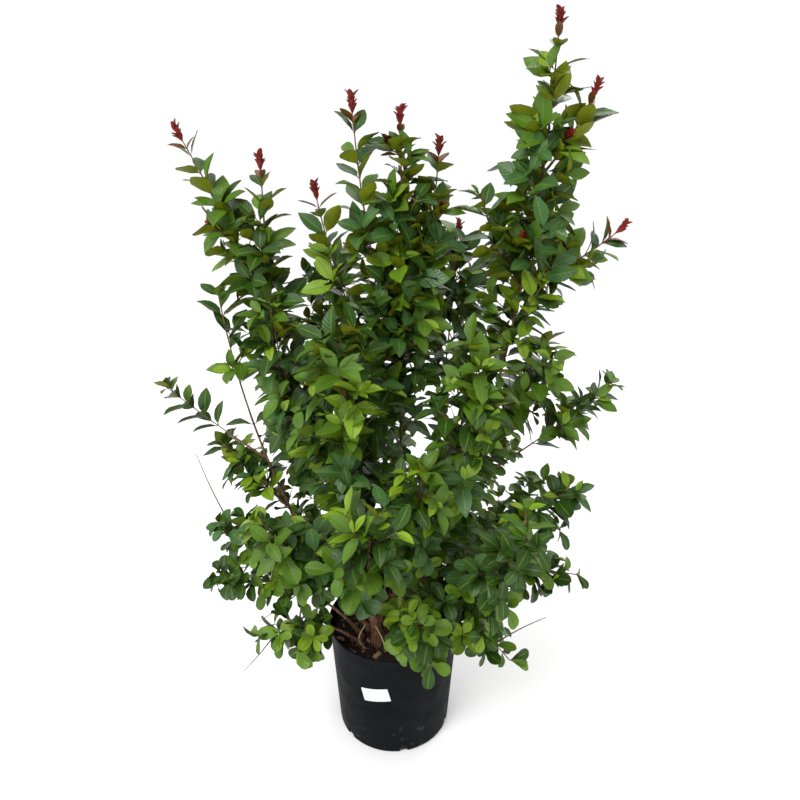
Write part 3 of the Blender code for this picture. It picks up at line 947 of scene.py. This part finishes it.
def close_limb(name, limb, leaves, twigs, chance):
    """The end of a limb: young red leaves, or a few small green ones."""
    tip, way = Vector(limb.tip), direction(limb, 0.99)
    if name in FLUSHED:
        grow_flush(leaves, twigs, tip, way, chance)
        return
    foot = tip - way * END_BACK
    for _ in range(END_LEAVES):
        side = across(way, chance)
        ahead = (way * 1.2 + side * 0.3).normalized()
        slots = spray_slots(foot.z, chance)
        grow_leaf(leaves, foot, ahead, side, END_LEAF_LENGTH, slots, chance)


def make_limb_bark(limb, bark):
    """A limb from its foot to its last leaf, its bark ridged along the stem."""
    length = axis_length(limb)
    step = BARK_STEP if limb.radius else BARK_STEP * 2
    steps = max(4, round(length / step))
    end = 1 - LIMB_SHORT / length
    shares = [end * i / steps for i in range(steps + 1)]
    path = [axis_point(limb, share) for share in shares]
    if rooted(limb):
        path[0] = path[0] - Vector((0, 0, FOOT_SUNK))
    radii = [limb_radius(limb, share, length) for share in shares]
    sides = BARK_SIDES if limb.radius > THIN_LIMB_RADIUS else THIN_BARK_SIDES
    bark.add(path, radii, sides, BARK, BARK_RELIEF if limb.radius else HIDDEN_BARK_RELIEF)


def make_flakes(tubes):
    """Thin curls of bark that lift off the stout stems."""
    chance = random.Random(f"{SEED} flakes")
    stout = [limb for limb in LIMBS.values() if limb.radius > FLAKE_STEM_RADIUS]
    last = len(FLAKE_RADII) - 1
    for _ in range(FLAKE_COUNT):
        limb = chance.choice(stout)
        share = chance.uniform(0.01, limb.bare * 0.7)
        way = direction(limb, share)
        out = across(way, chance)
        surface = axis_point(limb, share) + out * limb_radius(limb, share, axis_length(limb)) * 0.98
        long = chance.uniform(*FLAKE_LENGTH)
        path = [surface + way * long * k / last + out * FLAKE_LIFT * (k / last) ** 2 for k in range(last + 1)]
        tubes.add(path, FLAKE_RADII, FLAKE_SIDES, chance.choice((PEEL, FILM)))


def make_straw(tubes):
    """Dead thin twigs, straw-coloured, among the feet of the stems."""
    chance = random.Random(f"{SEED} straw")
    for _ in range(STRAW_COUNT):
        angle, reach = chance.uniform(0, 2 * math.pi), chance.uniform(*STRAW_REACH)
        foot = Vector((math.cos(angle) * reach, math.sin(angle) * reach, SOIL_TOP - FOOT_SUNK))
        rise = chance.uniform(*STRAW_RISE)
        lean = Vector((math.cos(angle), math.sin(angle), 0)) * chance.uniform(*STRAW_LEAN)
        bend = across(UP, chance) * chance.uniform(*STRAW_BEND)
        path = []
        for k in range(STRAW_STEPS + 1):
            level = foot + lean * k / STRAW_STEPS + Vector((0, 0, rise * k / STRAW_STEPS))
            path.append(level + bend * math.sin(k / STRAW_STEPS * math.pi))
        radii = [STRAW_RADIUS - STRAW_TAPER * k for k in range(STRAW_STEPS + 1)]
        tubes.add(path, radii, TWIG_SIDES, chance.choice((BROWN, RUSSET, STRAW)))


def make_bare_twigs(tubes):
    """Leafless twigs, each from the limb nearest to its foot out to its tip."""
    chance = random.Random(f"{SEED} bare")
    for foot, tip in BARE_TWIGS:
        start, end = nearest_on_limbs(Vector(foot)), Vector(tip)
        sway = across((end - start).normalized(), chance) * BARE_SWAY
        shares = [k / BARE_STEPS for k in range(BARE_STEPS + 1)]
        path = [start.lerp(end, share) + sway * math.sin(share * math.pi) for share in shares]
        radii = [BARE_RADIUS - BARE_TAPER * k for k in range(BARE_STEPS + 1)]
        tubes.add(path, radii, TWIG_SIDES, BROWN)


# Pot and soil


def arc(centre, radius, first_deg, last_deg, steps):
    angles = [math.radians(first_deg + (last_deg - first_deg) * i / steps) for i in range(steps + 1)]
    return [(centre[0] + radius * math.cos(a), centre[1] + radius * math.sin(a)) for a in angles]


def pot_profile():
    """Half the pot's section: base corner, tapered wall, rolled lip, and down the inside."""
    lip_foot = POT_HEIGHT - LIP_HEIGHT
    roll = (LIP_PROUD + POT_WALL) / 2
    lip_centre = (POT_TOP_RADIUS - roll, POT_HEIGHT - roll)
    inner_foot = wall_radius(POT_FLOOR) - POT_WALL
    wall = [(wall_radius(z), z) for z in np.linspace(POT_CORNER * 2, lip_foot, 12)]
    return [
        (0.0, 0.0),
        *arc((POT_BASE_RADIUS - POT_CORNER, POT_CORNER), POT_CORNER, -90, 0, 8),
        *wall,
        (POT_TOP_RADIUS - LIP_ROUND, lip_foot + LIP_PROUD),
        (POT_TOP_RADIUS, lip_foot + LIP_PROUD * 1.6),
        *arc(lip_centre, roll, 0, 180, 10),
        (inner_foot, POT_FLOOR),
        (0.0, POT_FLOOR),
    ]


def drain_cutter(index):
    """A block with a rounded top that cuts one drain notch out of the base corner."""
    half, top = DRAIN_WIDTH / 2, DRAIN_HEIGHT
    left = arc((-half + DRAIN_ROUND, top - DRAIN_ROUND), DRAIN_ROUND, 180, 90, 6)
    right = arc((half - DRAIN_ROUND, top - DRAIN_ROUND), DRAIN_ROUND, 90, 0, 6)
    outline = [(-half, -POT_CORNER), *left, *right, (half, -POT_CORNER)]
    inner, outer = POT_BASE_RADIUS - DRAIN_DEPTH, POT_BASE_RADIUS + DRAIN_DEPTH
    count = len(outline)
    points = [(r, u, z) for r in (inner, outer) for u, z in outline]
    faces = [(i, (i + 1) % count, count + (i + 1) % count, count + i) for i in range(count)]
    faces += [tuple(reversed(range(count))), tuple(range(count, 2 * count))]
    mesh = bpy.data.meshes.new("drain")
    mesh.from_pydata(points, [], faces)
    mesh.transform(Matrix.Rotation(math.radians(DRAIN_FIRST_DEG + 360 * index / DRAIN_COUNT), 4, "Z"))
    shape = bmesh.new()
    shape.from_mesh(mesh)
    bmesh.ops.recalc_face_normals(shape, faces=shape.faces)
    shape.to_mesh(mesh)
    shape.free()
    return placed(f"drain_{index}", mesh)


def turned_pot():
    """The pot's profile turned round its axis, with no notches yet."""
    shape = bmesh.new()
    points = [shape.verts.new((r, 0.0, z)) for r, z in pot_profile()]
    edges = [shape.edges.new(pair) for pair in zip(points, points[1:])]
    bmesh.ops.spin(
        shape, geom=points + edges, cent=(0, 0, 0), axis=(0, 0, 1), angle=2 * math.pi, steps=POT_SIDES
    )
    bmesh.ops.remove_doubles(shape, verts=shape.verts, dist=1e-6)
    bmesh.ops.recalc_face_normals(shape, faces=shape.faces)
    mesh = bpy.data.meshes.new("pot_shell")
    shape.to_mesh(mesh)
    shape.free()
    return placed("pot_rough", mesh)


def make_pot(surface):
    """The pot with the drain notches cut out of it."""
    rough = turned_pot()
    cutters = [drain_cutter(index) for index in range(DRAIN_COUNT)]
    for cutter in cutters:
        made = rough.modifiers.new("notch", "BOOLEAN")
        made.operation = "DIFFERENCE"
        made.object = cutter
    bpy.context.view_layer.update()
    done = bpy.data.meshes.new_from_object(rough.evaluated_get(bpy.context.evaluated_depsgraph_get()))
    for spare in (rough, *cutters):
        bpy.data.objects.remove(spare)
    done.materials.clear()
    done.materials.append(surface)
    done.shade_smooth()
    done.set_sharp_from_angle(angle=math.radians(POT_SMOOTH_DEG))
    pot = placed("pot_shell", done)
    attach(pot, "root")
    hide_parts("pot")


def soil_height(x, y):
    """Height of the soil's uneven top: lumps with crumbs on them."""
    spot = Vector((x, y, 0.0))
    lump, crumb = noise.noise(spot * LUMP_SCALE), noise.noise(spot * CRUMB_SCALE)
    return SOIL_TOP - SOIL_SUNK + SOIL_UNEVEN * (LUMP_SHARE * lump + CRUMB_SHARE * crumb)


def circle(radius):
    angles = [2 * math.pi * k / SOIL_SIDES for k in range(SOIL_SIDES)]
    return [(radius * math.cos(a), radius * math.sin(a)) for a in angles]


def make_soil(surfaces):
    """The soil's uneven top, its side down the pot and its flat bottom."""
    points, faces = [(0, 0, soil_height(0, 0))], []
    for ring in range(1, SOIL_RINGS + 1):
        level = circle(soil_radius(SOIL_TOP) * ring / SOIL_RINGS)
        points += [(x, y, soil_height(x, y)) for x, y in level]
    points += [(x, y, POT_FLOOR + CLEARANCE) for x, y in circle(soil_radius(POT_FLOOR))]
    for k in range(SOIL_SIDES):
        j = (k + 1) % SOIL_SIDES
        faces.append((0, 1 + k, 1 + j))
        for ring in range(SOIL_RINGS):
            low, high = 1 + ring * SOIL_SIDES, 1 + (ring + 1) * SOIL_SIDES
            faces.append((low + k, high + k, high + j, low + j))
    faces.append(tuple(1 + SOIL_RINGS * SOIL_SIDES + k for k in reversed(range(SOIL_SIDES))))
    soil = piece("soil_top", points, faces, surfaces[:1])
    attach(soil, "root")
    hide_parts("soil")


def make_chips(surfaces):
    """Chips of bark lying on the soil, each a small uneven block."""
    chance = random.Random(f"{SEED} chips")
    points, faces, slots = [], [], []
    corners = [(x, y, z) for z in (-1, 1) for x, y in SQUARE]
    block = ((0, 3, 2, 1), (4, 5, 6, 7), (0, 1, 5, 4), (1, 2, 6, 5), (2, 3, 7, 6), (3, 0, 4, 7))
    for _ in range(CHIP_COUNT):
        reach = soil_radius(SOIL_TOP) * CHIP_SPREAD * math.sqrt(chance.random())
        angle = chance.uniform(0, 2 * math.pi)
        x, y = reach * math.cos(angle), reach * math.sin(angle)
        size = chance.choice(CHIP_SIZES)
        half = Vector([chance.uniform(*span) for span in CHIP_HALF]) * size
        spin = Matrix.Rotation(chance.uniform(0, CHIP_SPIN), 3, "Z")
        turn = spin @ Matrix.Rotation(chance.uniform(-CHIP_TILT, CHIP_TILT), 3, "X")
        first = len(points)
        for corner in corners:
            place = Vector([c * h * chance.uniform(*CHIP_CORNERS) for c, h in zip(corner, half)])
            points.append(turn @ place + Vector((x, y, soil_height(x, y) + CHIP_RAISED)))
        faces += [tuple(first + i for i in face) for face in block]
        slots += [chance.choice((EARTH, EARTH, TAN, TAN, RED_BROWN, DARK))] * len(block)
    chips = piece("soil_chips", points, faces, surfaces, slots, smooth=False)
    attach(chips, "root")


# The whole plant


def make_plant(greens, barks, twig_barks):
    """Bark over every limb, twigs and leaves along its leafy part."""
    bark, twigs = Tubes(), Tubes()
    groups = {}
    for name, limb in LIMBS.items():
        make_limb_bark(limb, bark)
        leaves, members = groups.setdefault(group_of(name), (Leaves(), []))
        members.append(f"leaves_{name.removeprefix('stem_')}")
        grow_limb(name, limb, leaves, twigs)
    make_flakes(bark)
    stems = bark.build("stems_and_boughs", barks)
    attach(stems, "root")
    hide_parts(*[name for name, limb in LIMBS.items() if limb.radius])
    make_bare_twigs(twigs)
    make_straw(twigs)
    fine = twigs.build("twigs", twig_barks)
    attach(fine, "root")
    for group, (leaves, members) in groups.items():
        foliage = leaves.build(f"foliage_{group}", greens)
        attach(foliage, "root")
        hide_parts(*members)


def finish_label():
    """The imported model's label keeps its shape and gets paper for its material."""
    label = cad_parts["pot_label"]
    label.data.materials.clear()
    label.data.materials.append(paper_material())


# Floor, light and camera


def make_stage():
    """A wide pale floor under soft light from the upper left, with a weaker lamp behind."""
    corners = [(x * FLOOR_HALF, y * FLOOR_HALF, 0) for x, y in SQUARE]
    paint = mottled("floor_paint", grey(0.93), grey(0.95), 3.0, 0.7, 0.02, 0.001)
    floor = piece("floor", corners, [(0, 1, 2, 3)], [paint])
    world = bpy.data.worlds.new("studio")
    world.use_nodes = True
    backdrop = world.node_tree.nodes["Background"]
    backdrop.inputs["Color"].default_value = (1.0, 1.0, 1.0, 1.0)
    backdrop.inputs["Strength"].default_value = SKY_STRENGTH
    bpy.context.scene.world = world
    bpy.context.scene.view_settings.view_transform = "Standard"
    for name, place, size, power in LAMPS:
        lamp = bpy.data.lights.new(name, "AREA")
        lamp.size = size
        lamp.energy = power
        made = placed(name, lamp)
        made.location = place
        made.rotation_euler = (Vector(LAMP_AIM) - Vector(place)).to_track_quat("-Z", "Y").to_euler()


def make_camera():
    lens = bpy.data.cameras.new("camera")
    lens.lens = CAMERA_LENS
    lens.sensor_width = CAMERA_SENSOR
    made = placed("camera", lens)
    made.location = CAMERA_PLACE
    made.rotation_euler = (math.radians(90 - CAMERA_PITCH_DEG), 0, 0)
    bpy.context.scene.camera = made


def main():
    make_camera()
    make_stage()
    make_pot(plastic_material())
    soils = soil_materials()
    make_soil(soils)
    make_chips(soils)
    make_plant(leaf_materials(), bark_materials(), twig_materials())
    finish_label()


main()
